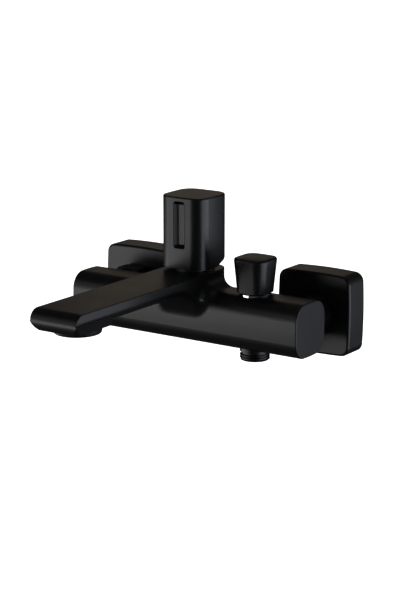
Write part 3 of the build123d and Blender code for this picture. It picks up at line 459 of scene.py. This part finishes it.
spot = add_node(tree, "GeometryNodeInputPosition").outputs["Position"]
reach = add_node(tree, "ShaderNodeVectorMath", {0: spot}, operation="LENGTH").outputs["Value"]
beyond = calc(tree, "GREATER_THAN", reach, calc(tree, "SUBTRACT", given["Radius"], half))
outer = {"Geometry": staggered.outputs["Geometry"], "Selection": beyond}
kept = add_node(tree, "GeometryNodeDeleteGeometry", outer).outputs["Geometry"]
# Each cell carries just under half of a shared wall
half_wall = calc(tree, "MULTIPLY", given["Wall"], 0.49)
corner = calc(tree, "SUBTRACT", given["Cell"], half_wall)
corner = calc(tree, "MULTIPLY", corner, 1 / math.sqrt(3))
hexagon = add_node(tree, "GeometryNodeCurvePrimitiveCircle", {"Resolution": 6, "Radius": corner})
turned = {"Geometry": hexagon.outputs["Curve"], "Rotation": (0, 0, math.pi / 6)}
hexagon = add_node(tree, "GeometryNodeTransform", turned).outputs["Geometry"]
wall = {"Width": half_wall, "Height": given["Height"]}
wall = add_node(tree, "GeometryNodeCurvePrimitiveQuadrilateral", wall).outputs["Curve"]
tube = add_node(tree, "GeometryNodeCurveToMesh", {"Curve": hexagon, "Profile Curve": wall})
laid = {"Points": kept, "Instance": tube.outputs["Mesh"]}
laid = add_node(tree, "GeometryNodeInstanceOnPoints", laid).outputs["Instances"]
rim_middle = calc(tree, "MULTIPLY_ADD", given["Rim"], -0.5, given["Radius"])
circle = add_node(tree, "GeometryNodeCurvePrimitiveCircle", {"Resolution": 72, "Radius": rim_middle})
band = {"Width": given["Rim"], "Height": given["Height"]}
band = add_node(tree, "GeometryNodeCurvePrimitiveQuadrilateral", band).outputs["Curve"]
rim = {"Curve": circle.outputs["Curve"], "Profile Curve": band}
rim = add_node(tree, "GeometryNodeCurveToMesh", rim).outputs["Mesh"]
both = add_node(tree, "GeometryNodeJoinGeometry")
for part in (rim, laid):
    tree.links.new(part, both.inputs["Geometry"])
middle = add_node(tree, "ShaderNodeCombineXYZ", {axis: given["Middle " + axis] for axis in "XYZ"})
placed = {"Geometry": both.outputs["Geometry"], "Translation": middle.outputs[0]}
placed = add_node(tree, "GeometryNodeTransform", placed).outputs["Geometry"]
close_tree(tree, ends, placed, nylon)
honeycomb = run_tree("aerator_honeycomb", tree, insert_sizes, bpy.data.meshes.new("honeycomb_start"))
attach(honeycomb, "mixer_body")
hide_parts("aerator_insert")

# Springs: each coil is a welded copy of its part, hung on the mixer body; its still end is found, not used
coil_weld = 0.001 * MM
lower, upper = 0, 1
for node, joint, still_end in (
    ("diverter_spring", "diverter_pull", upper),
    ("check_valve_spring", "check_lift", lower),
):
    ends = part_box(node)
    coil_mesh = frame["nodes"][node].data.copy()
    welded = bmesh.new()
    welded.from_mesh(coil_mesh)
    bmesh.ops.remove_doubles(welded, verts=welded.verts, dist=coil_weld)
    welded.to_mesh(coil_mesh)
    welded.free()
    coil = bpy.data.objects.new(node + "_closing", coil_mesh)
    coil.matrix_world = frame["nodes"][node].matrix_world.copy()
    scene.collection.objects.link(coil)
    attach(coil, "mixer_body")
    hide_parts(node)
    still = (ends[0] + ends[1]) / 2
    still.z = ends[still_end].z
    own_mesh(coil)

# Camera: lens and place worked out from the photograph's edges
camera = bpy.data.objects.new("camera", bpy.data.cameras.new("camera"))
camera.data.lens = 110.75
camera.data.sensor_width = 36.0
camera.location = Vector((0.70868, -1.09188, 0.30405))
camera_aim = Vector((-0.00623, -0.04, -0.00606))
camera.rotation_euler = (camera_aim - camera.location).to_track_quat("-Z", "Y").to_euler()
scene.collection.objects.link(camera)
scene.camera = camera

studio_centre = Vector((0, -0.09, 0.02))


def softbox(name, azimuth, elevation, distance, width, height, level, colour):
    """A soft lamp that faces the mixer. Its level is the brightness of its cloth, 1 for white."""
    lamp = bpy.data.lights.new(name, "AREA")
    lamp.shape = "RECTANGLE"
    lamp.size, lamp.size_y = width, height
    lamp.energy = level * math.pi * width * height
    lamp.color = linear(colour)[:3]
    turn, rise = math.radians(azimuth), math.radians(elevation)
    way = Vector((math.sin(turn) * math.cos(rise), -math.cos(turn) * math.cos(rise), math.sin(rise)))
    holder = bpy.data.objects.new(name, lamp)
    holder.location = studio_centre + distance * way
    holder.rotation_euler = way.to_track_quat("Z", "Y").to_euler()
    holder.visible_camera = False
    scene.collection.objects.link(holder)


# A long softbox low on the left, a wide one on the right, weaker ones above them and to the far left, a warm
# glow from behind and a dim one from the top
softbox("softbox_left", -40, -11, 1.5, 1.2, 0.42, 2.5, "#ffffff")
softbox("softbox_left_high", -42, 16, 1.5, 1.2, 0.8, 0.35, "#ffffff")
softbox("softbox_far_left", -75, -22, 1.5, 0.8, 0.4, 2.4, "#ffffff")
softbox("softbox_right", 104, -10, 1.5, 2.0, 0.58, 2.6, "#edf3ff")
softbox("softbox_right_high", 120, 14, 1.5, 1.6, 0.58, 0.2, "#edf3ff")
softbox("softbox_behind", -148, 17, 1.5, 0.5, 0.4, 0.24, "#ffe8d0")
softbox("softbox_top", 180, 78, 1.6, 1.2, 0.9, 0.15, "#ffffff")

scene.view_settings.view_transform = "Standard"


def pale_light(tree, ambient):
    """Strength of a pale surround: 1 to the camera and in reflections, and its own level as a lamp."""
    path = add_node(tree, "ShaderNodeLightPath")
    seen = path.outputs["Is Camera Ray"]
    for ray in ("Is Glossy Ray", "Is Transmission Ray"):
        seen = calc(tree, "MAXIMUM", seen, path.outputs[ray])
    return add_node(tree, "ShaderNodeMapRange", {"Value": seen, "To Min": ambient}).outputs["Result"]


world = bpy.data.worlds.new("white_surround")
world.use_nodes = True
scene.world = world
world_shader = world.node_tree.nodes["Background"]
world_shader.inputs["Color"].default_value = linear("#ffffff")
world.node_tree.links.new(pale_light(world.node_tree, 0.6), world_shader.inputs["Strength"])
world.cycles.sampling_method = "NONE"

# Floor of the studio, far enough below the mixer for a camera to look up at it
floor_half, floor_z = 40, -1.6
floor_mesh = bpy.data.meshes.new("floor")
floor_mesh.from_pydata(
    [(x * floor_half, y * floor_half, floor_z) for x, y in ((-1, -1), (1, -1), (1, 1), (-1, 1))],
    [],
    [(0, 1, 2, 3)],
)
floor = bpy.data.objects.new("floor", floor_mesh)
scene.collection.objects.link(floor)
floor_paint, tree, shader, place = new_material("floor_white_paint")
mottle = add_node(tree, "ShaderNodeTexNoise", {"Vector": place, "Scale": 2.0})
tone = add_node(tree, "ShaderNodeMix", {"Factor": mottle.outputs["Fac"]}, data_type="RGBA")
tone.inputs["A"].default_value = linear("#f4f4f4")
tone.inputs["B"].default_value = linear("#f8f8f8")
tree.links.new(tone.outputs["Result"], shader.inputs["Base Color"])
shader.inputs["Roughness"].default_value = 0.9
shader.inputs["Emission Color"].default_value = linear("#ffffff")
tree.links.new(pale_light(tree, 0.0), shader.inputs["Emission Strength"])
floor_mesh.materials.append(floor_paint)

# Black cards round the mixer keep its reflections dark beside the softboxes, as in a product studio
card_far, card_low, card_high = 2.2, -0.72, 2.0
corners = [
    (x * card_far, y * card_far, z)
    for z in (card_low, card_high)
    for x, y in ((-1, -1), (1, -1), (1, 1), (-1, 1))
]
card_faces = [(0, 1, 2, 3), (4, 7, 6, 5), (0, 4, 5, 1), (1, 5, 6, 2), (2, 6, 7, 3), (3, 7, 4, 0)]
card_mesh = bpy.data.meshes.new("black_cards")
card_mesh.from_pydata(corners, [], card_faces)
cards = bpy.data.objects.new("black_cards", card_mesh)
scene.collection.objects.link(cards)
card_felt, tree, shader, place = new_material("card_black_felt")
shader.inputs["Base Color"].default_value = linear("#1c1c1c")
shader.inputs["Roughness"].default_value = 1.0
shader.inputs["Emission Color"].default_value = linear("#ffffff")
shader.inputs["Emission Strength"].default_value = 0.025
card_mesh.materials.append(card_felt)
for ray in ("camera", "diffuse", "shadow", "transmission", "volume_scatter"):
    setattr(cards, "visible_" + ray, False)
